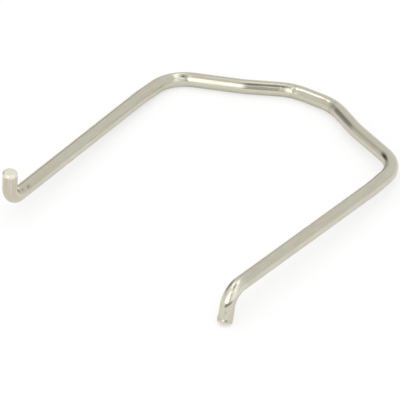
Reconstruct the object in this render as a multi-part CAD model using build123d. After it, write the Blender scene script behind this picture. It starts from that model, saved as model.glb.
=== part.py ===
from build123d import *
import math
import os

# Bent-wire retaining clip: one length of round spring wire, bent flat into a U with an arched back.
# The two legs straddle a round coupling and spring in towards their tips. Each tip is turned out of
# the flat into a short hook, one up and one down, so that the clip can't back out of its slots.
#
# Millimetres. The clip is drawn flat, its centreline in the XY plane: +X to the leg whose hook turns
# down, +Y from the hooks to the back. It is then laid down as it comes to rest, with its origin on
# the surface under the middle of its box.

# The wire
wire_diameter = 3.0
end_rounding = 0.45  # edge of the two cut ends

# The legs, on the centreline
leg_length = 57.6  # hooks to back corners
corner_half_spacing = 27.6  # middle of the clip to a back corner
shoulder_swell = 0.3  # how far a leg first bows out from its back corner
shoulder_setback = 10.0  # back corner to where the leg has bowed out furthest
leg_toe_in = 1.8  # how far a leg then closes in by its hook

# The arched back, on the centreline
dip_half_spacing = 13.5  # middle of the clip to where the slope steepens
dip_rise = 6.2  # back corners to there
crest_half_width = 5.0  # middle of the clip to the end of the flat crest
crest_rise = 4.95  # dips to crest

# The hooks
hook_straight = 3.85  # straight end beyond the bend
hook_lean_in = 3.0  # degrees towards the other leg
hook_lean_out = 5.0  # degrees away from the back

# The forming tools: the radius that each bend is made around, on its inside
hook_tool_radius = 2.1
shoulder_tool_radius = 20.0
corner_tool_radius = 6.3
dip_tool_radius = 12.5
crest_tool_radius = 9.7

wire_radius = wire_diameter / 2
shoulder_half_spacing = corner_half_spacing + shoulder_swell
hook_half_spacing = shoulder_half_spacing - leg_toe_in


def bend_radius(tool_radius):
    """Radius of the wire's centreline in a bend made around a tool."""
    return tool_radius + wire_radius


def setback(before, corner, after, radius):
    """Distance from a corner of the centreline to where its arc starts."""
    turn = math.radians((corner - before).get_angle(after - corner))
    return radius * math.tan(turn / 2)


def half_turned(point):
    """The same point on the other half: the clip is its own copy after half a turn about Y."""
    return Vector(-point.X, point.Y, -point.Z)


def flat_corners():
    """Corners of the leg and half the back on the +X side, from the hook to the crest."""
    return [
        Vector(hook_half_spacing, 0, 0),
        Vector(shoulder_half_spacing, leg_length - shoulder_setback, 0),
        Vector(corner_half_spacing, leg_length, 0),
        Vector(dip_half_spacing, leg_length + dip_rise, 0),
        Vector(crest_half_width, leg_length + dip_rise + crest_rise, 0),
    ]


def flat_radii():
    """Centreline radius at each of those corners."""
    tools = [hook_tool_radius, shoulder_tool_radius, corner_tool_radius, dip_tool_radius, crest_tool_radius]
    return [bend_radius(tool) for tool in tools]


def hook_direction():
    """Which way the downward hook on the +X side points."""
    lean_in = math.tan(math.radians(hook_lean_in))
    lean_out = math.tan(math.radians(hook_lean_out))
    return Vector(-lean_in, -lean_out, -1).normalized()


def hook_end():
    """Middle of the cut end of the downward hook."""
    corner, shoulder = flat_corners()[:2]
    hook = hook_direction()
    bend = setback(shoulder, corner, corner + hook, bend_radius(hook_tool_radius))
    return corner + hook * (bend + hook_straight)


def centreline():
    """The whole wire's centreline, from the downward hook round to the upward one."""
    half = [hook_end(), *flat_corners()]
    other_half = [half_turned(point) for point in reversed(half)]
    radii = flat_radii()
    return FilletPolyline(*half, *other_half, radius=radii + radii[::-1])


def bent_wire():
    """A round section swept along the centreline, with the edges of its cut ends rounded."""
    path = centreline()
    section = Plane(origin=path @ 0, z_dir=path % 0) * Circle(wire_radius)
    wire = sweep(section, path=path.wire())
    cut_edges = wire.faces().filter_by(GeomType.PLANE).edges()
    return fillet(cut_edges, min(end_rounding, 0.9 * wire_radius))


def arc_centre(corner_index):
    """Centre of the arc at one of the flat corners, on the -X side."""
    corners = [half_turned(point) for point in flat_corners()]
    corners.append(flat_corners()[-1])
    before, corner, after = corners[corner_index - 1 : corner_index + 2]
    inward = ((before - corner).normalized() + (after - corner).normalized()).normalized()
    half_angle = math.radians((before - corner).get_angle(after - corner)) / 2
    return corner + inward * (flat_radii()[corner_index] / math.sin(half_angle))


def low_side():
    """Where the back touches down: the way square to a straight edge laid against the outside of the
    -X back corner and of the crest, and how far that edge is from the hooks' middle."""
    corner_centre = arc_centre(2)
    crest_centre = arc_centre(4)
    between = crest_centre - corner_centre
    corner_radius = bend_radius(corner_tool_radius)
    crest_radius = bend_radius(crest_tool_radius)
    opening = math.degrees(math.acos((corner_radius - crest_radius) / between.length))
    outward = between.normalized().rotate(Axis.Z, opening)
    return outward, outward.dot(corner_centre) + corner_radius


def rest_tilt(outward, reach):
    """Degrees that the flat clip leans towards its low side, with the downward hook's rim, the -X back
    corner and the crest all on the surface."""
    hook = hook_direction()
    rim_centre = hook_end() - hook * end_rounding
    low, high = 0.0, 45.0
    while high - low > 1e-6:
        tilt = (low + high) / 2
        lean = math.radians(tilt)
        up = Vector(0, 0, math.cos(lean)) - outward * math.sin(lean)
        rim = (wire_radius - end_rounding) * up.cross(hook).length
        hook_height = up.dot(rim_centre) - rim - end_rounding
        back_height = -reach * math.sin(lean) - wire_radius
        if hook_height < back_height:
            low = tilt
        else:
            high = tilt
    return tilt


def laid_down(flat_clip):
    """The clip as it comes to rest, with the origin under the middle of its box."""
    outward, reach = low_side()
    tilt = rest_tilt(outward, reach)
    print(f"rest tilt {tilt:.3f} degrees")
    pivot = Axis((0, 0, 0), outward.rotate(Axis.Z, 90))
    leaning = flat_clip.rotate(pivot, tilt)
    box = leaning.bounding_box()
    middle = box.center()
    return leaning.moved(Location((-middle.X, -middle.Y, -box.min.Z)))


def main():
    os.makedirs("parts", exist_ok=True)
    flat_clip = bent_wire()
    swept = math.pi * wire_radius**2 * centreline().length
    print(f"centreline {centreline().length:.2f} mm, volume {flat_clip.volume:.1f}, section x length {swept:.1f}")
    clip = laid_down(flat_clip)
    clip.label = "wire_clip"
    export_step(clip, "parts/wire_clip.step")


main()
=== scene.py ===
# %% [markdown]
# # A bent-wire retaining clip
# This clip is one length of round spring wire. It is bent flat into a U with an arched back, and the
# tip of each leg is turned out of the flat into a short hook, one down and one up. It locks a push-in
# coupling: the legs spring over the collar and the hooks stop them from backing out.
#
# The script starts from the measured model, which fixes the clip's size and place. Everything after
# that is about how such a wire looks: its rounded cut ends, the marks of the bending tools, and the
# satin of drawn steel. Lengths are in millimetres times MM, because Blender works in metres.

import math

import bmesh
import bpy
from mathutils import Matrix, Vector
from mathutils.geometry import intersect_ray_tri


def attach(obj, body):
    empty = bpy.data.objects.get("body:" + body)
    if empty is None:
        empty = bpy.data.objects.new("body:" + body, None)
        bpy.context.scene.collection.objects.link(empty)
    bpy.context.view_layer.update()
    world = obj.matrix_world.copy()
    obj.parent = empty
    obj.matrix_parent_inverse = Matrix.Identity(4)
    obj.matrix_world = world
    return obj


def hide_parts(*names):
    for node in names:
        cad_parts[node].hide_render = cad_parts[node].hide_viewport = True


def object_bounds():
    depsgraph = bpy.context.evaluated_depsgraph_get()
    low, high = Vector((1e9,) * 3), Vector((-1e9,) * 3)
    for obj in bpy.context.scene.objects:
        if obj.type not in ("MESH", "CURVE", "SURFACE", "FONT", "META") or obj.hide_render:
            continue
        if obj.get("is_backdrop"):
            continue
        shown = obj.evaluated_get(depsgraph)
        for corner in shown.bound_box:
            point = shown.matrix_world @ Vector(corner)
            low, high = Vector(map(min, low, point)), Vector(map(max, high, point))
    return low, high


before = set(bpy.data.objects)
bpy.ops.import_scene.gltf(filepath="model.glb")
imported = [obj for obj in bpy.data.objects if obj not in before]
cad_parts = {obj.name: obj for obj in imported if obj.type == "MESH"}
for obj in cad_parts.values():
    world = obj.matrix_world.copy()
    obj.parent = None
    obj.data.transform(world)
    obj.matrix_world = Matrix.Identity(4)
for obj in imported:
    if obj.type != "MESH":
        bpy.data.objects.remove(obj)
cad_low, cad_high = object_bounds()
MM = 0.001
print("measured nodes:", sorted(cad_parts))
print("clip box in mm:", [round(side / MM, 2) for side in cad_high - cad_low])

# %% [markdown]
# ## The wire and its route
# A wire former reads a short list: how far to feed the wire and how to bend it. A clip like this is
# drawn the same way, as the corners that its centreline would have if every bend were sharp, and the
# radius of the tool that each bend is made around. A curve object with a bevel would also give a
# tube, but its round section would be spread unevenly through the bends, and a mesh that is fed and
# bent keeps track of where each point was on the straight wire. The finish needs that later.

# %% The corners of the centreline
wire_radius = 1.5 * MM
leg_length = 57.6 * MM
corner_half_spacing = 27.6 * MM
shoulder_half_spacing = 27.9 * MM
shoulder_setback = 10.0 * MM
hook_half_spacing = 26.1 * MM
dip_half_spacing = 13.5 * MM
dip_rise = 6.2 * MM
crest_half_width = 5.0 * MM
crest_rise = 4.95 * MM

half_route = [
    Vector((hook_half_spacing, 0, 0)),
    Vector((shoulder_half_spacing, leg_length - shoulder_setback, 0)),
    Vector((corner_half_spacing, leg_length, 0)),
    Vector((dip_half_spacing, leg_length + dip_rise, 0)),
    Vector((crest_half_width, leg_length + dip_rise + crest_rise, 0)),
]
tool_radii = [2.1 * MM, 20.0 * MM, 6.3 * MM, 12.5 * MM, 9.7 * MM]
half_radii = [tool + wire_radius for tool in tool_radii]
print("bend radii of the centreline in mm:", [round(radius / MM, 1) for radius in half_radii])

# %% [markdown]
# The bend at a corner starts some way before it, by the tangent of half the turn. The other half of
# the clip is this half turned over about the middle line, which is why one hook points up and the
# other down. A mirror would turn both the same way.

# %% Bends and the turned half


def setback(before, corner, after, radius):
    """Distance from a corner to where its arc starts."""
    return radius * math.tan((corner - before).angle(after - corner) / 2)


def half_turned(point):
    """The same point on the other half of the clip, after half a turn about Y."""
    return Vector((-point.x, point.y, -point.z))


corner_bend = setback(half_route[1], half_route[2], half_route[3], half_radii[2])
print("the corner bend starts this far from its corner, in mm:", round(corner_bend / MM, 2))

# %% The hooks
hook_straight = 3.85 * MM
hook_lean_in = math.radians(3)
hook_lean_out = math.radians(5)
hook_way = Vector((-math.tan(hook_lean_in), -math.tan(hook_lean_out), -1)).normalized()

hook_corner, shoulder = half_route[:2]
hook_bend = setback(shoulder, hook_corner, hook_corner + hook_way, half_radii[0])
hook_end = hook_corner + hook_way * (hook_bend + hook_straight)
route = [hook_end, *half_route, *[half_turned(p) for p in reversed(half_route)], half_turned(hook_end)]
radii = half_radii + half_radii[::-1]
print("route corners:", len(route), "hook length in mm:", round((hook_bend + hook_straight) / MM, 2))

# %% [markdown]
# ## A wire bender in a few lines
# The bender holds the last ring of the section. Feeding extrudes the ring straight ahead, and bending
# spins it about the middle of the tool. Both take small steps, so that marks can be pressed into the
# mesh afterwards. Each vertex also keeps its place on the straight wire, before any bend: across the
# section in x and y, and along the wire in z. Extrude and spin copy such a layer to the new vertices,
# so only its z has to be moved on. A second layer is for the marks.

# %% The bender
sides = 72


class Bender:
    """The free end of the wire: its ring of edges, its place and heading, and the length fed so far."""

    def __init__(self, place, heading, crown):
        self.mesh = bmesh.new()
        self.straight = self.mesh.verts.layers.float_vector.new("straight")
        # the mark layer holds grime and painted shade, and bare metal and a painted highlight where it is
        # negative
        self.mark = self.mesh.verts.layers.float.new("mark")
        self.place = place.copy()
        self.heading = heading.normalized()
        self.crown = crown.normalized()
        self.fed = 0.0
        self.ring = []

    def start(self, radius):
        """A small disc, square to the heading, which is the middle of the first cut end."""
        flank = self.heading.cross(self.crown)
        turn = Matrix((self.crown, flank, self.heading)).transposed().to_4x4()
        matrix = Matrix.Translation(self.place) @ turn
        bmesh.ops.create_circle(self.mesh, cap_ends=True, segments=sides, radius=radius, matrix=matrix)
        back = matrix.inverted()
        for vert in self.mesh.verts:
            vert[self.straight] = back @ vert.co
        self.ring = self.mesh.edges[:]

    def moved_on(self, made, length):
        """Takes the new ring from an operator's result and moves it on along the straight wire."""
        verts = [item for item in made if isinstance(item, bmesh.types.BMVert)]
        new = set(verts)
        self.ring = [
            item for item in made
            if isinstance(item, bmesh.types.BMEdge) and all(vert in new for vert in item.verts)
        ]
        self.fed += length
        for vert in verts:
            x, y, _ = vert[self.straight]
            vert[self.straight] = Vector((x, y, self.fed))
        return verts


print("points in a ring:", sides)

# %% [markdown]
# Each of the three moves below leaves a new ring at the free end. The first is for the cut ends: the
# ring is extruded, moved ahead, and drawn out or in to another radius.

# %% A ring of another radius


def swell(bender, radius, advance):
    """One more ring, of another radius: the steps of a cut end and its rounded edge."""
    made = bmesh.ops.extrude_edge_only(bender.mesh, edges=bender.ring)["geom"]
    verts = bender.moved_on(made, advance)
    bmesh.ops.translate(bender.mesh, verts=verts, vec=bender.heading * advance)
    bender.place += bender.heading * advance
    for vert in verts:
        across = Vector((*vert[bender.straight].xy, 0))
        share = radius / across.length
        vert.co = bender.place + (vert.co - bender.place) * share
        vert[bender.straight] = across * share + Vector((0, 0, bender.fed))


print("full radius of a ring in mm:", wire_radius / MM)

# %% [markdown]
# Feeding makes one long extrusion and then cuts it across in equal steps, because subdivide_edges fills
# in every layer evenly on the new points. The steps are fine at the hooks, where the smallest marks go.
# The marks along the back are longer, so plain steps are enough there.

# %% Feeding straight ahead
fine_step = 0.09 * MM
plain_step = 0.3 * MM


def feed(bender, length, step):
    """Straight ahead, then cut across in equal steps."""
    made = bmesh.ops.extrude_edge_only(bender.mesh, edges=bender.ring)["geom"]
    verts = bender.moved_on(made, length)
    bmesh.ops.translate(bender.mesh, verts=verts, vec=bender.heading * length)
    bender.place += bender.heading * length
    new = set(verts)
    lengthwise = [e for vert in verts for e in vert.link_edges if e.other_vert(vert) not in new]
    cuts = math.ceil(length / step) - 1
    if cuts > 0:
        bmesh.ops.subdivide_edges(bender.mesh, edges=lengthwise, cuts=cuts)


print("steps in 10 mm, fine and plain:", [math.ceil(10 * MM / step) for step in (fine_step, plain_step)])

# %% [markdown]
# Bending spins the ring about the middle of the tool. Spin copies the layer as it is, so each new point
# gets its distance along the wire from how far it has turned: the arc of the wire's middle.

# %% Bending round a tool


def bend(bender, new_heading, radius, step):
    """Round the tool, from this heading to the next."""
    axis = bender.heading.cross(new_heading).normalized()
    turn = bender.heading.angle(new_heading)
    outward = -axis.cross(bender.heading)
    centre = bender.place - outward * radius
    before = len(bender.mesh.verts)
    verts = list({vert for edge in bender.ring for vert in edge.verts})
    made = bmesh.ops.spin(
        bender.mesh, geom=bender.ring + verts, cent=centre, axis=axis,
        angle=turn, steps=math.ceil(radius * turn / step), use_duplicate=False,
    )["geom_last"]
    for vert in list(bender.mesh.verts)[before:]:
        arm = vert.co - centre
        angle = math.atan2(arm.dot(bender.heading), arm.dot(outward))
        x, y, _ = vert[bender.straight]
        vert[bender.straight] = Vector((x, y, bender.fed + radius * angle))
    bender.moved_on(made, radius * turn)
    spun = Matrix.Rotation(turn, 3, axis)
    bender.place = centre + spun @ (bender.place - centre)
    bender.heading = spun @ bender.heading


print("fine steps in a right angle at a hook:", math.ceil(half_radii[0] * math.pi / 2 / fine_step))

# %% [markdown]
# ## The cut ends
# The wire is cropped between two blades and then tumbled, which takes the sharp edge off the cut. The
# section goes from the middle of the face out to its edge, and round the edge to the full wire. A
# bevel would round the edge too, but these rings are needed along the whole wire anyway, so that each
# one hands its points on to the next.

# %% Profile of a cut end
end_rounding = 0.45 * MM
face_radius = wire_radius - end_rounding
face_shares = [0.2, 0.4, 0.6, 0.8, 1.0]
rounding_steps = 7
profile = [(face_radius * share, 0.0) for share in face_shares]
for step in range(1, rounding_steps + 1):
    turn = math.radians(90) * step / rounding_steps
    radius = face_radius + end_rounding * math.sin(turn)
    profile.append((radius, end_rounding * (1 - math.cos(turn))))
print("rings of (radius, depth) on a cut end:", len(profile))

# %% The first cut end
first_heading = -hook_way
front = Vector((0, -1, 0))
crown = front - first_heading * front.dot(first_heading)
bender = Bender(hook_end, first_heading, crown)
bender.start(profile[0][0])
for (_, before), (radius, height) in zip(profile, profile[1:]):
    swell(bender, radius, height - before)
print("first end fed in mm:", round(bender.fed / MM, 2))

# %% [markdown]
# Now the whole route is fed and bent, corner by corner. Each straight run is the distance between two
# corners less what their bends take up. The run next to a hook starts finely too, because some of the
# marks reach past the hook's bend.

# %% Feeding and bending the whole wire
fine_run = 8 * MM
last = len(route) - 1
tangents = [setback(*route[i - 1 : i + 2], radii[i - 1]) for i in range(1, last)]
tangents = [end_rounding, *tangents, end_rounding]
for i in range(1, last + 1):
    run = (route[i] - route[i - 1]).length - tangents[i - 1] - tangents[i]
    in_hook = i in (1, last)
    beside_hook = i in (2, last - 1)
    if beside_hook:
        steps = [(fine_run, fine_step), (run - fine_run, plain_step)]
        for length, step in steps if i == 2 else steps[::-1]:
            feed(bender, length, step)
    else:
        feed(bender, run, fine_step if in_hook else plain_step)
    if i < last:
        at_hook = i in (1, last - 1)
        bend(bender, route[i + 1] - route[i], radii[i - 1], fine_step if at_hook else plain_step)
print("fed up to the last cut end in mm:", round(bender.fed / MM, 2))

# %% The last cut end
for (radius, before), (_, height) in zip(profile[-2::-1], profile[:0:-1]):
    swell(bender, radius, height - before)
bmesh.ops.contextual_create(bender.mesh, geom=bender.ring)
bmesh.ops.recalc_face_normals(bender.mesh, faces=bender.mesh.faces)
wire_length = bender.fed
print("wire fed in mm:", round(wire_length / MM, 2), "faces:", len(bender.mesh.faces))
print("closing error in mm:", round((bender.place - route[-1]).length / MM, 5))

# %% [markdown]
# ## The marks of the bending tools
# Wire this thick doesn't bend round a tool without a mark. These are real dents, so they are pressed
# into the mesh: each is a place on the straight wire, given as the distance fed and the angle round
# from the crown, and the points near it move along their normals. A bump map would be lighter, but it
# would vanish at the outline. Sculpting would do for one clip, but a rule with a few numbers can be
# read and changed. The same presses fill a layer with how dark each point is painted, as grime and as
# painted shade in the steps, dents and lines. Where the number is negative, it says how pale the point
# is painted, as bare metal and as a painted highlight.

# %% Easy slopes


def soft_step(value):
    """0 below 0, 1 above 1, and an easy slope between."""
    value = min(max(value, 0.0), 1.0)
    return value * value * (3 - 2 * value)


print("an easy slope in quarters:", [round(soft_step(quarter / 4), 2) for quarter in range(5)])

# %% Pressing dents


def place_on_wire(vert):
    """(fed, angle round from the crown in radians, positive to the outer side of the U)."""
    x, y, fed = vert[bender.straight]
    return fed, math.atan2(y, x)


def bell(value):
    """1 at 0, with an easy fall on both sides."""
    return math.exp(-value * value)


def near_angle(around, middle, flat):
    """1 up to flat degrees from the middle angle, with an easy fall to 0 beyond."""
    turned = (math.degrees(around) - middle + 180) % 360 - 180
    return 1 - soft_step((abs(turned) - flat) / (0.8 * flat))


def press(rule, fed_from, fed_to):
    """Moves the points fed between these two lengths by a rule's height, and adds its grime and painted
    shade.
    """
    bender.mesh.normal_update()
    moves = []
    for vert in bender.mesh.verts:
        fed, around = place_on_wire(vert)
        if fed_from <= fed <= fed_to:
            height, grime_and_shade = rule(fed, around)
            moves.append((vert, vert.normal * height))
            vert[bender.mark] = min(1.0, max(-1.0, vert[bender.mark] + grime_and_shade))
    for vert, move in moves:
        vert.co += move
    return max(move.length for _, move in moves)


print("points that a press can move:", len(bender.mesh.verts))

# %% [markdown]
# ## The tongue on the downward hook
# The former of the downward hook has pressed a shallow tongue into the outside of its bend. The tongue
# is deepest near the tip of the hook, where it ends in a curved step, and it runs out along the bend.
# A dark line of painted shade follows the step, standing in for its shade and dark reflection. Both
# its floor, across the wire, and the step's edge are parabolas. Where the floor would rise above the
# round wire, the wire keeps its own shape, and the crease between the two is rounded off. The same
# tool has rubbed the outside of the bend, and it is painted paler there, partly as bare metal and
# partly as a painted highlight.

# %% The tongue on the downward hook
tongue_tip = 4.2 * MM
tip_middle = math.radians(5)
tip_curve = 0.6 / MM
tongue_middle = math.radians(15)
tongue_depth = 0.09 * MM
tongue_length = 4.4 * MM
floor_curve = 0.36 / MM
crease_rounding = 0.025 * MM
step_run = 0.3 * MM
# painted shade: a dark line along the step stands in for its shade and dark reflection
step_shade_middle = math.radians(29)
step_shade_reach = 0.5 * MM
step_shade_past_edge = 0.18 * MM
step_shade_half_width = 0.16 * MM
step_shade_fade = 0.2 * MM
rim_height = 0.02 * MM
rim_width = 0.15 * MM
# the rubbed outside of the bend is painted paler, partly bare metal and partly a painted highlight
rubbed_highlight_half_angle = 55
rubbed_highlight_to = 8.0 * MM
rubbed_highlight_fade = 2.5 * MM
rubbed_highlight_share = 0.28


def tongue(fed, around):
    """A flattened patch that starts at a curved step and runs out along the bend."""
    off = wire_radius * (around - tongue_middle)
    left = max(0.0, 1 - (fed - tongue_tip) / tongue_length)
    bare_depth = tongue_depth * left * left - floor_curve / 2 * off * off
    depth = (bare_depth + math.hypot(bare_depth, crease_rounding)) / 2 * soft_step(left * 3)
    from_edge = fed - tongue_tip - tip_curve * (wire_radius * (around - tip_middle)) ** 2
    inside = soft_step(from_edge / step_run)
    from_step_shade = abs(around - step_shade_middle) * wire_radius
    near_tip = 1 - soft_step((from_step_shade - step_shade_reach) / step_run)
    rim = bell((from_edge + rim_width) / rim_width)
    # the dark line of painted shade along the step
    off_line = abs(from_edge - step_shade_past_edge) - step_shade_half_width
    grime_and_shade = (1 - soft_step(off_line / step_shade_fade)) * near_tip
    # painted highlight and bare metal over the rubbed outside of the bend
    rubbed_highlight = inside * near_angle(around, math.degrees(tongue_middle), rubbed_highlight_half_angle)
    rubbed_highlight *= 1 - soft_step((fed - rubbed_highlight_to) / rubbed_highlight_fade)
    return rim_height * rim * near_tip - depth * inside, grime_and_shade - rubbed_highlight_share * rubbed_highlight * (1 - grime_and_shade)


print("tongue depth in mm:", round(press(tongue, 3 * MM, rubbed_highlight_to + rubbed_highlight_fade) / MM, 3))

# %% [markdown]
# ## Nicks
# The jaws that held the wire have nicked it inside the upward hook and beside the lower cut. Each nick
# is a small bell-shaped dent, and a raised spot is the same with a negative depth. Most are painted
# darker, as grime and painted shade. The raised spots are rubbed bare, because whatever stands proud
# meets everything else in the box, and they and a nick beside them are painted paler, as bare metal
# and a painted highlight.

# %% Nicks from the jaws
nick_reach = 1.5
wire_nicks = [
    # fed, around, half length, half width, depth in mm, and grime with painted shade, or bare metal
    # with a painted highlight where it is negative
    (177.2, -15, 0.38, 0.40, -0.25, -1.0),
    (177.8, -42, 0.45, 0.32, 0.15, 1.0),
    (176.0, -42, 0.42, 0.28, 0.10, 0.75),
    (174.2, -50, 0.55, 0.34, 0.08, 0.75),
    (3.2, 24, 0.45, 0.22, 0.03, 0.35),
    (1.1, 13, 0.22, 0.26, -0.14, -0.5),
    (1.48, 15, 0.22, 0.26, 0.14, -0.5),
    (1.3, 37, 0.22, 0.24, 0.12, 0.9),
]


def nick(middle, angle, half_length, half_width, depth, grime_and_shade):
    """A rounded dent, or a raised spot where the depth is negative."""
    def rule(fed, around):
        along = (fed - middle * MM) / (half_length * MM)
        across = wire_radius * (around - math.radians(angle)) / (half_width * MM)
        weight = bell(math.hypot(along, across))
        # a positive share paints grime and shade into the dent, a negative one bare metal and a highlight
        return -depth * MM * weight, grime_and_shade * weight

    return rule


for middle, angle, half_length, half_width, depth, grime_and_shade in wire_nicks:
    rule = nick(middle, angle, half_length, half_width, depth, grime_and_shade)
    press(rule, (middle - nick_reach) * MM, (middle + nick_reach) * MM)
print("nicks and raised spots:", len(wire_nicks))

# %% [markdown]
# ## The lip beside the lower cut
# A worn cropping blade drags a little metal with it. It has left a lip that flares out on the inner
# side of the lower end, with a faint line round the front where the sleeve of the shear held the wire.

# %% The lip beside the cut
lip_height = 0.11 * MM
lip_rises, rise_run = 0.1 * MM, 0.6 * MM
lip_falls, fall_run = 1.3 * MM, 0.7 * MM
shear_line = 1.35 * MM
shear_line_width = 0.16 * MM
shear_line_depth = 0.02 * MM
# how much darker the line round the front is painted
shear_line_darkening = 0.3


def lip(fed, around):
    """A ridge that flares out beside the cut on the inner side, with a line round the front."""
    degrees = math.degrees(around)
    # full height from 35 to 85 degrees round to the inner side
    inner = soft_step((-degrees - 5) / 30) * (1 - soft_step((-degrees - 85) / 35))
    ridge = soft_step((fed - lip_rises) / rise_run) * (1 - soft_step((fed - lip_falls) / fall_run))
    line = bell((fed - shear_line) / shear_line_width) * bell(degrees / 50)
    return lip_height * ridge * inner - shear_line_depth * line, shear_line_darkening * line


print("lip height in mm:", round(press(lip, 0.0, 3 * MM) / MM, 3))

# %% [markdown]
# ## Where the tools pressed the back
# The bends of the back are pressed between a former and a pad, and each leaves a long, shallow dish on
# the inner side of the wire, no deeper than a fifth of a millimetre. Polished wire mirrors the room, so
# a dish that the eye can't see still breaks up the bright reflections along the back. A dish eases in
# at one end and stops short at the other, where the edge of the tool stood.

# %% The dishes in the back
tool_presses = [
    # deepest at, its reach down and up the wire, depth in mm, middle and half width round the wire in
    # degrees, and how square its lower end is, where 1 is an even slope
    (122.1, 3.9, 1.9, 0.20, -67, 38, 2.2),
    (97.0, 0.35, 2.5, 0.14, -60, 50, 1.0),
    (87.9, 2.0, 0.7, 0.09, -55, 50, 1.0),
]


def tool_press(middle, down, up, depth, angle, half_width, square):
    """A dish with its own slope on either side of the deepest place."""
    def rule(fed, around):
        along = fed - middle * MM
        share = min(1.0, abs(along) / ((up if along > 0 else down) * MM))
        left = 1 - share ** (1.0 if along > 0 else square)
        return -depth * MM * left * near_angle(around, angle, half_width), 0.0

    return rule


for middle, down, up, depth, angle, half_width, square in tool_presses:
    rule = tool_press(middle, down, up, depth, angle, half_width, square)
    deepest = press(rule, (middle - down) * MM, (middle + up) * MM)
    print("pressed at", middle, "mm, deepest in mm:", round(deepest / MM, 3))

# %% The lines beside the dishes
line_depth = 0.01 * MM
line_reach = 1
jaw_lines = [
    # fed, half length, middle and half width round the wire in degrees, and grime with painted shade
    (119.4, 0.26, -45, 18, 0.45),
    (97.0, 0.16, -60, 50, 0.0),
    (86.9, 0.35, -55, 50, 0.3),
]


def jaw_line(middle, half_length, angle, half_width, grime_and_shade):
    """A scuffed line across the wire, darkened with grime and painted shade."""
    def rule(fed, around):
        weight = bell((fed - middle * MM) / (half_length * MM)) * near_angle(around, angle, half_width)
        return -line_depth * weight, grime_and_shade * weight

    return rule


for middle, half_length, angle, half_width, grime_and_shade in jaw_lines:
    rule = jaw_line(middle, half_length, angle, half_width, grime_and_shade)
    press(rule, (middle - line_reach) * MM, (middle + line_reach) * MM)
print("lines left by the jaws:", len(jaw_lines))

# %% [markdown]
# ## Laying it down
# A clip with one hook up and one down can't lie flat. It comes to rest on three points: the rim of
# the lower hook, one back corner and the crest of the back. Those three are the corners of a face of
# the wire's convex hull, the one straight under its middle of mass, so the hull gives the lean with
# no guesswork. The same hull could be found by a rigid body simulation, but that would take longer and
# stop a little short.

# %% The hull face that the clip rests on
straight_down = Vector((0, 0, -1))


def middle_of_mass(wire):
    """Middle of the surface, face by face, which on a round wire is the middle of its mass too."""
    area = sum(face.calc_area() for face in wire.faces)
    moment = Vector()
    for face in wire.faces:
        moment += face.calc_center_median() * face.calc_area()
    return moment / area


def resting_face_normal(wire):
    """Normal of the face of the wire's convex hull that lies straight under its middle of mass."""
    hull = bmesh.new()
    for vert in wire.verts:
        hull.verts.new(vert.co)
    bmesh.ops.convex_hull(hull, input=hull.verts)
    bmesh.ops.triangulate(hull, faces=hull.faces)
    middle = middle_of_mass(wire)
    found = None
    for face in hull.faces:
        corners = [vert.co for vert in face.verts]
        if face.normal.z < 0 and intersect_ray_tri(*corners, straight_down, middle):
            found = face.normal.copy()
            break
    hull.free()
    return found


normal = resting_face_normal(bender.mesh)
lean = normal.rotation_difference(straight_down).to_matrix().to_4x4()
bmesh.ops.transform(bender.mesh, matrix=lean, verts=bender.mesh.verts)
print("lean in degrees:", round(math.degrees(normal.angle(straight_down)), 3))

# %% Onto the surface, under the middle of the measured box


def box_of(verts):
    """Lowest and highest corner of some vertices."""
    low = Vector([min(vert.co[axis] for vert in verts) for axis in range(3)])
    high = Vector([max(vert.co[axis] for vert in verts) for axis in range(3)])
    return low, high


low, high = box_of(bender.mesh.verts)
target = Vector(((cad_low.x + cad_high.x) / 2, (cad_low.y + cad_high.y) / 2, cad_low.z))
shift = target - Vector(((low.x + high.x) / 2, (low.y + high.y) / 2, low.z))
bmesh.ops.translate(bender.mesh, verts=bender.mesh.verts, vec=shift)
low, high = box_of(bender.mesh.verts)
print("corner errors in mm:", [round(x / MM, 4) for x in (*(low - cad_low), *(high - cad_high))])

# %% [markdown]
# ## The finished piece
# The bmesh becomes an ordinary mesh on one object. The object stays at the origin, unturned and
# unscaled, with its place in its mesh, as each measured part has. It rides on the model's only body and
# stands in for the plain wire there. Smooth shading is right all over, because the rounded ends and the
# marks have enough faces of their own to show their edges.

# %% The finished piece
wire_mesh = bpy.data.meshes.new("spring_wire_clip")
bender.mesh.to_mesh(wire_mesh)
bender.mesh.free()
wire_mesh.shade_smooth()
clip = bpy.data.objects.new("spring_wire_clip", wire_mesh)
bpy.context.scene.collection.objects.link(clip)
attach(clip, "root")
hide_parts("wire_clip")
print("points:", len(wire_mesh.vertices), "faces:", len(wire_mesh.polygons))

# %% [markdown]
# ## The finish: drawn steel
# Spring wire gets its shine from the die it is drawn through. Close up it is satin: fine lines run
# along it, and the colour drifts between a cool and a warm grey where soap from drawing has dried on.
# All of this follows the wire through its bends, so the patterns read the layer that holds each
# point's place on the straight wire, and not the object's own coordinates, which would cut straight
# across the bends. Every texture here is a noise, and its Mapping node sets how coarse it is across the
# wire and along it.

# %% The steel, and where a point was on the straight wire
steel = bpy.data.materials.new("drawn_steel")
steel.use_nodes = True
nodes = steel.node_tree.nodes
links = steel.node_tree.links
shader = nodes["Principled BSDF"]
on_wire = nodes.new("ShaderNodeAttribute")
on_wire.attribute_name = "straight"
fed_along = nodes.new("ShaderNodeSeparateXYZ")
links.new(on_wire.outputs["Vector"], fed_along.inputs["Vector"])
print("layers on the mesh:", [layer.name for layer in wire_mesh.attributes if not layer.is_internal])

# %% Noise on the straight wire


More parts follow.
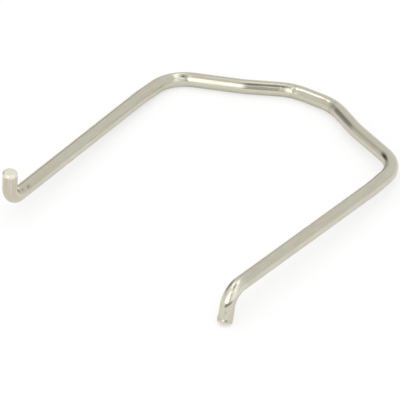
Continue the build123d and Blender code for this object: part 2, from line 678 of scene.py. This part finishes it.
def noise(across, along, detail):
    """Noise on the straight wire, with grains of this size in mm across and along it."""
    scaled = nodes.new("ShaderNodeMapping")
    scaled.inputs["Scale"].default_value = (1 / (across * MM), 1 / (across * MM), 1 / (along * MM))
    links.new(on_wire.outputs["Vector"], scaled.inputs["Vector"])
    texture = nodes.new("ShaderNodeTexNoise")
    texture.inputs["Scale"].default_value = 1.0
    texture.inputs["Detail"].default_value = detail
    links.new(scaled.outputs["Vector"], texture.inputs["Vector"])
    return texture.outputs["Fac"]


print("the noise follows the layer:", on_wire.attribute_name)

# %% [markdown]
# Three more helpers keep the rest short. One moves a value from one range to another, one does sums, and
# one mixes colours. Each makes a node, links what it is given, and hands back the node's output.

# %% Ranges and sums


def spread(value, low, high, new_low, new_high):
    """A value moved from one range to another, and kept inside it."""
    mapped = nodes.new("ShaderNodeMapRange")
    mapped.inputs["From Min"].default_value = low
    mapped.inputs["From Max"].default_value = high
    mapped.inputs["To Min"].default_value = new_low
    mapped.inputs["To Max"].default_value = new_high
    links.new(value, mapped.inputs["Value"])
    return mapped.outputs["Result"]


def calculate(operation, first, second):
    """A sum on one or two values, each a socket or a number."""
    sum_node = nodes.new("ShaderNodeMath")
    sum_node.operation = operation
    for socket, value in zip(sum_node.inputs, (first, second)):
        if isinstance(value, (int, float)):
            socket.default_value = value
        else:
            links.new(value, socket)
    return sum_node.outputs["Value"]


print("nodes before any pattern:", len(nodes))

# %% Mixing two colours


def blend_colour(factor, first, second, how="MIX"):
    """Two colours, each a socket or a triple, mixed by a factor."""
    mix = nodes.new("ShaderNodeMix")
    mix.data_type = "RGBA"
    mix.blend_type = how
    if isinstance(factor, (int, float)):
        mix.inputs["Factor"].default_value = factor
    else:
        links.new(factor, mix.inputs["Factor"])
    # a Mix node keeps its two colours in inputs 6 and 7, and the mixed one in output 2
    for socket, colour in zip((mix.inputs[6], mix.inputs[7]), (first, second)):
        if isinstance(colour, tuple):
            socket.default_value = (*colour, 1)
        else:
            links.new(colour, socket)
    return mix.outputs[2]


print("the colour to replace:", [round(x, 2) for x in shader.inputs["Base Color"].default_value[:3]])

# %% [markdown]
# ## Colours
# Steel has little colour of its own, so the two greys are close together: a cool one, and a warm one
# with a touch less green and blue. The drawing lines make it a little lighter or darker. The dark of
# the marks is nearly black and isn't a metal: it is grime and painted shade, standing in for the shade
# in the steps, dents and lines, and it sits where the presses left it, broken up into crumbs.

# %% Colour of the drawn surface
cool_steel = (0.60, 0.592, 0.497)
warm_steel = (0.60, 0.553, 0.446)
drawing_lines = noise(0.13, 7.0, 3)
soap_patches = noise(0.8, 2.6, 2)
long_drift = noise(1.6, 14.0, 1)
warmth = calculate("ADD", calculate("MULTIPLY", soap_patches, 0.7), calculate("MULTIPLY", long_drift, 0.3))
steel_colour = blend_colour(spread(warmth, 0.38, 0.62, 0, 1), cool_steel, warm_steel)
line_shade = spread(drawing_lines, 0.3, 0.7, 0.93, 1.05)
shade_colour = nodes.new("ShaderNodeCombineColor")
for channel in ("Red", "Green", "Blue"):
    links.new(line_shade, shade_colour.inputs[channel])
steel_colour = blend_colour(1.0, steel_colour, shade_colour.outputs["Color"], "MULTIPLY")
print("cool and warm steel:", cool_steel, warm_steel)

# %% Grime and painted shade in the tool marks
grime_and_shade_layer = nodes.new("ShaderNodeAttribute")
grime_and_shade_layer.attribute_name = "mark"
crumbs = noise(0.15, 0.2, 2)
dirt_and_shade = spread(grime_and_shade_layer.outputs["Fac"], 0, 1, 0, 1)
# painted shade: the dark share of the marks stands in for the shade and dark reflections in steps, dents
# and lines
grime_and_shade = calculate("MULTIPLY", dirt_and_shade, spread(crumbs, 0.3, 0.6, 0.6, 1.0))
grime_and_shade_colour = (0.13, 0.11, 0.085)
steel_colour = blend_colour(grime_and_shade, steel_colour, grime_and_shade_colour)
marks = [point.value for point in wire_mesh.attributes["mark"].data]
print("points with some grime:", sum(mark > 0.1 for mark in marks))

# %% [markdown]
# ## Tarnish and bare metal
# The upward hook has been handled, and tarnish has settled in streaks along its drawing lines. The cut
# faces are the other way about: fresh metal, paler and duller than the drawn surface, with a torn
# grain. Both are placed by the distance along the wire, and the edge between is made ragged by noise,
# because a clean ring would look painted.

# %% Tarnish on the upward hook
tarnish_from = 176.5 * MM
tarnish_full = 179.5 * MM
on_hook = spread(fed_along.outputs["Z"], tarnish_from, tarnish_full, 0, 1)
streaks = spread(noise(0.35, 6.0, 2), 0.4, 0.6, 0, 1)
tarnished_steel = (0.53, 0.472, 0.375)
steel_colour = blend_colour(calculate("MULTIPLY", on_hook, streaks), steel_colour, tarnished_steel)
print("tarnished for the last", round((wire_length - tarnish_from) / MM, 1), "mm of the wire")

# %% The cropped ends, and rubbed spots painted paler as bare metal and a painted highlight
from_middle = calculate("ABSOLUTE", calculate("SUBTRACT", fed_along.outputs["Z"], wire_length / 2), 0)
from_end = calculate("SUBTRACT", wire_length / 2, from_middle)
raggedness = 0.2 * MM
ragged = calculate("ADD", from_end, spread(noise(0.5, 0.5, 2), 0.3, 0.7, -raggedness, raggedness))
cropped = spread(ragged, end_rounding, 0.8 * MM, 1, 0)
# painted highlight: rubbed spots and the rubbed tongue take the pale bare colour, partly worn metal and
# partly a painted highlight
rubbed_highlight = spread(grime_and_shade_layer.outputs["Fac"], 0, -0.8, 0, 1)
bare_and_highlight = calculate("MAXIMUM", cropped, rubbed_highlight)
bare_and_highlight_steel = (0.81, 0.777, 0.67)
steel_colour = blend_colour(bare_and_highlight, steel_colour, bare_and_highlight_steel)
links.new(steel_colour, shader.inputs["Base Color"])
print("bare steel:", bare_and_highlight_steel)

# %% [markdown]
# ## Gloss and fine relief
# How sharp a reflection is tells more about a metal than its colour does. The drawn surface is fairly
# glossy and a little uneven, the grime and painted shade in the marks are dull, and cropped and rubbed
# metal lies between. Roughness starts from the drawing lines, and each of the others adds its share.
# The relief is a few thousandths of a millimetre deep, and about a hundredth on the torn faces. That is
# right for a bump: it never shows at the outline.

# %% Gloss
sharpest_lines, dullest_lines = 0.17, 0.24
roughness = spread(drawing_lines, 0.3, 0.7, sharpest_lines, dullest_lines)
for duller, by in ((soap_patches, 0.05), (grime_and_shade, 0.3), (bare_and_highlight, 0.2)):
    roughness = calculate("ADD", roughness, calculate("MULTIPLY", duller, by))
links.new(roughness, shader.inputs["Roughness"])
links.new(calculate("SUBTRACT", 1.0, calculate("MULTIPLY", grime_and_shade, 0.6)), shader.inputs["Metallic"])
print("roughness of clean drawn steel:", sharpest_lines, "to", dullest_lines, "and what soap adds")

# %% Fine relief
relief_depth = 0.003 * MM
torn_share = 4
relief = nodes.new("ShaderNodeBump")
relief.inputs["Strength"].default_value = 1.0
relief.inputs["Distance"].default_value = relief_depth
torn = calculate("MULTIPLY", cropped, noise(0.12, 0.12, 3))
heights = calculate("ADD", drawing_lines, calculate("MULTIPLY", torn, torn_share))
links.new(heights, relief.inputs["Height"])
links.new(relief.outputs["Normal"], shader.inputs["Normal"])
wire_mesh.materials.append(steel)
print("nodes in the steel:", len(nodes))

# %% [markdown]
# ## The paper under it
# The clip lies on a wide sheet of white paper. Lit at a level that suits the steel, paper comes out
# pale grey, and Light Path mends that by telling rays apart. The camera, and what the steel mirrors,
# see the paper a shade lighter than the light that it bounces. The camera's own view is then mixed
# with plain white, so that about a third of the shadow stays and the clip still lies on something.
# More light would also whiten the paper, but it would burn out the steel.

# %% The sheet of paper
half_sheet = 3.0
paper_mesh = bpy.data.meshes.new("paper")
paper_maker = bmesh.new()
bmesh.ops.create_grid(paper_maker, x_segments=1, y_segments=1, size=half_sheet)
paper_maker.to_mesh(paper_mesh)
paper_maker.free()
sheet_of_paper = bpy.data.objects.new("paper", paper_mesh)
bpy.context.scene.collection.objects.link(sheet_of_paper)
sheet_of_paper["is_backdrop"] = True
print("paper in metres:", [round(side, 2) for side in sheet_of_paper.dimensions.xy])

# %% Two tones of paper
lit_paper = (0.79, 0.79, 0.79, 1)
seen_paper = (0.88, 0.88, 0.88, 1)
paper = bpy.data.materials.new("white_paper")
paper.use_nodes = True
paper_nodes = paper.node_tree.nodes
paper_links = paper.node_tree.links
paper_shader = paper_nodes["Principled BSDF"]
paper_shader.inputs["Roughness"].default_value = 1.0
paper_shader.inputs["Specular IOR Level"].default_value = 0.0
path = paper_nodes.new("ShaderNodeLightPath")
looked_at = path.outputs["Is Camera Ray"]
for mirrored in ("Is Glossy Ray", "Is Transmission Ray"):
    either = paper_nodes.new("ShaderNodeMath")
    either.operation = "MAXIMUM"
    paper_links.new(looked_at, either.inputs[0])
    paper_links.new(path.outputs[mirrored], either.inputs[1])
    looked_at = either.outputs["Value"]
paper_tone = paper_nodes.new("ShaderNodeMix")
paper_tone.data_type = "RGBA"
paper_tone.inputs[6].default_value = lit_paper
paper_tone.inputs[7].default_value = seen_paper
paper_links.new(looked_at, paper_tone.inputs["Factor"])
paper_links.new(paper_tone.outputs[2], paper_shader.inputs["Base Color"])
print("paper as lit and as seen:", lit_paper[0], seen_paper[0])

# %% The camera's own view of the paper
white_share = 0.65
share = paper_nodes.new("ShaderNodeMath")
share.operation = "MULTIPLY"
share.inputs[1].default_value = white_share
paper_links.new(path.outputs["Is Camera Ray"], share.inputs[0])
plain_white = paper_nodes.new("ShaderNodeEmission")
lifted = paper_nodes.new("ShaderNodeMixShader")
paper_links.new(share.outputs["Value"], lifted.inputs["Fac"])
paper_links.new(paper_shader.outputs["BSDF"], lifted.inputs[1])
paper_links.new(plain_white.outputs["Emission"], lifted.inputs[2])
paper_links.new(lifted.outputs["Shader"], paper_nodes["Material Output"].inputs["Surface"])
paper_mesh.materials.append(paper)
print("share of the shadow that is kept:", round(1 - white_share, 2))

# %% [markdown]
# ## The camera
# Small hardware is shot from well back with a long lens, so that its near end doesn't swell. The camera
# stands about a metre away, to the right of the hooks and two fifths of the way up to overhead. Its
# place is an aim point and a direction, which are easier to adjust than three coordinates and three
# angles.

# %% Directions round the clip


def from_clip(heading, elevation):
    """Unit vector from the clip: heading 0 is in front of the hooks and 90 to its right."""
    h = math.radians(heading)
    e = math.radians(elevation)
    return Vector((math.sin(h) * math.cos(e), -math.cos(h) * math.cos(e), math.sin(e)))


def facing(way):
    """A turn that points a camera, a lamp or a card back along this way, with its top up."""
    return (-way).to_track_quat("-Z", "Y").to_matrix().to_4x4()


print("straight to the right:", from_clip(90, 0))

# %% The camera
aim = Vector((0.8, -6.9, 1.43)) * MM
camera_way = from_clip(33.37, 37.18)
camera_distance = 1.0592
camera_roll = math.radians(1.994)
lens_length = 482.13
camera_data = bpy.data.cameras.new("camera")
camera_data.sensor_width = 36
camera_data.lens = lens_length
camera_data.clip_start = 0.01
camera_data.clip_end = 10
camera = bpy.data.objects.new("camera", camera_data)
bpy.context.scene.collection.objects.link(camera)
bpy.context.scene.camera = camera
camera.location = aim + camera_way * camera_distance
camera.rotation_euler = (facing(camera_way) @ Matrix.Rotation(camera_roll, 4, "Z")).to_euler()
print("camera at:", [round(x, 3) for x in camera.location])

# %% [markdown]
# ## The light
# A polished wire shows its surroundings more than itself, so the studio is built for its reflections.
# All round is an even white tent, which gives the plain grey of the legs. Softboxes stand in front of
# it and draw the bright stripes on the back and in the tongue. A lamp adds to the tent behind it, so
# its level is how much brighter than the tent it looks, and its power follows from that and its area.

# %% The tent
tent_level = 0.86
tent = bpy.data.worlds.new("tent")
bpy.context.scene.world = tent
tent.use_nodes = True
tent_light = tent.node_tree.nodes["Background"]
tent_light.inputs["Color"].default_value = (1, 1, 1, 1)
tent_light.inputs["Strength"].default_value = tent_level
print("tent level:", tent_level)

# %% Angles to lengths and places


def spanned(degrees, distance):
    """The length that spans this angle at a distance."""
    return 2 * distance * math.tan(math.radians(degrees) / 2)


def placed(heading, elevation, distance, roll):
    """A place this way and this far from the clip, turned towards it."""
    way = from_clip(heading, elevation)
    roll = Matrix.Rotation(math.radians(roll), 4, "Z")
    return Matrix.Translation(way * distance) @ facing(way) @ roll


print("10 degrees span, at a metre:", round(spanned(10, 1), 3))

# %% Softboxes
lamp_distance = 2.0


def softbox(name, heading, elevation, width, height, level, roll):
    """A lamp that spans width by height degrees, and looks brighter than the tent by level."""
    data = bpy.data.lights.new(name, "AREA")
    data.shape = "RECTANGLE"
    data.size = spanned(width, lamp_distance)
    data.size_y = spanned(height, lamp_distance)
    data.energy = level * math.pi * data.size * data.size_y
    lamp = bpy.data.objects.new(name, data)
    bpy.context.scene.collection.objects.link(lamp)
    lamp.matrix_world = placed(heading, elevation, lamp_distance, roll)
    lamp.visible_camera = False
    print(name, "in watts:", round(data.energy, 2))


# heading, elevation, width and height in degrees, then the level
softbox("left_softbox", 11.4, 38.7, 30, 75, 1.38, roll=-23)
softbox("left_strip", -83, 67, 41, 9, 1.94, roll=25)
softbox("right_strip", 175.5, 69, 36, 14, 1.18, roll=-20)
softbox("right_softbox", 87, 62, 24, 70, 0.47, roll=-6)
softbox("low_softbox", 76.8, 14, 33, 40, 0.42, roll=31)

# %% [markdown]
# ## Dark cards
# White surroundings alone make metal look like plastic. The dark lines that tell the eye it is metal
# are gaps in the tent: a slit between two sheets, the opening overhead, the doorway and a side card.
# Each is an oval of felt whose rim fades out, as a gap that is out of focus does. Only the steel's
# reflections see it, so it takes no light from the clip or the paper.

# %% Felt with a rim that fades out


def felt(name, shade, rim):
    """A flat grey that fades out towards the rim, over this share of the way from it."""
    material = bpy.data.materials.new(name)
    material.use_nodes = True
    tree = material.node_tree
    tree.nodes.remove(tree.nodes["Principled BSDF"])
    flat_grey = tree.nodes.new("ShaderNodeEmission")
    flat_grey.inputs["Color"].default_value = (shade, shade, shade, 1)
    clear = tree.nodes.new("ShaderNodeBsdfTransparent")
    from_rim = tree.nodes.new("ShaderNodeAttribute")
    from_rim.attribute_name = "from_rim"
    fade = tree.nodes.new("ShaderNodeMapRange")
    fade.interpolation_type = "SMOOTHSTEP"
    fade.inputs["From Max"].default_value = rim
    mixed = tree.nodes.new("ShaderNodeMixShader")
    tree.links.new(from_rim.outputs["Fac"], fade.inputs["Value"])
    tree.links.new(fade.outputs["Result"], mixed.inputs["Fac"])
    tree.links.new(clear.outputs["BSDF"], mixed.inputs[1])
    tree.links.new(flat_grey.outputs["Emission"], mixed.inputs[2])
    tree.links.new(mixed.outputs["Shader"], tree.nodes["Material Output"].inputs["Surface"])
    return material


print("materials before the felt:", len(bpy.data.materials))

# %% Dark cards
round_radius = 0.5


def dark_card(name, heading, elevation, width, height, shade, distance=1.9, roll=0.0, rim=0.2):
    """An oval card that spans width by height degrees, and that only reflections see."""
    maker = bmesh.new()
    bmesh.ops.create_circle(maker, cap_ends=True, cap_tris=True, segments=48, radius=round_radius)
    from_rim = maker.verts.layers.float.new("from_rim")
    for vert in maker.verts:
        vert[from_rim] = 1 - vert.co.length / round_radius
    oval = Vector((spanned(width, distance), spanned(height, distance), 1))
    place = placed(heading, elevation, distance, roll)
    bmesh.ops.scale(maker, verts=maker.verts, vec=oval)
    bmesh.ops.transform(maker, matrix=place, verts=maker.verts)
    mesh = bpy.data.meshes.new(name)
    maker.to_mesh(mesh)
    maker.free()
    mesh.materials.append(felt(name, shade, rim))
    card = bpy.data.objects.new(name, mesh)
    bpy.context.scene.collection.objects.link(card)
    card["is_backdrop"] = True
    card.visible_camera = False
    card.visible_diffuse = False
    card.visible_shadow = False
    print(name, "in metres:", round(oval.x, 2), "by", round(oval.y, 2))


# heading, elevation, width and height in degrees, then the shade of grey
dark_card("slit", 27.5, 33, 14, 76, 0.18)
dark_card("overhead", 38, 79.8, 18, 48, 0.02, roll=-12)
dark_card("doorway", -101.5, 11, 60, 74, 0.02, distance=0.5, rim=0.8)
dark_card("side_card", -129.4, 0, 16, 54, 0.515, roll=18)

# %% [markdown]
# ## Colours and sizes
# The Standard view shows each colour as it is written. A filmic view would be kinder to bright spots,
# but it would turn white paper grey and dull the steel. Last, the boxes of the measured model and of
# what is seen are written down side by side, so that anyone can check that the clip kept its size.

# %% Colours as they are
bpy.context.scene.view_settings.view_transform = "Standard"
print("view transform:", bpy.context.scene.view_settings.view_transform)

# %% Sizes for the record
low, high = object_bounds()
print("visual box in mm:", [round(side / MM, 2) for side in high - low])
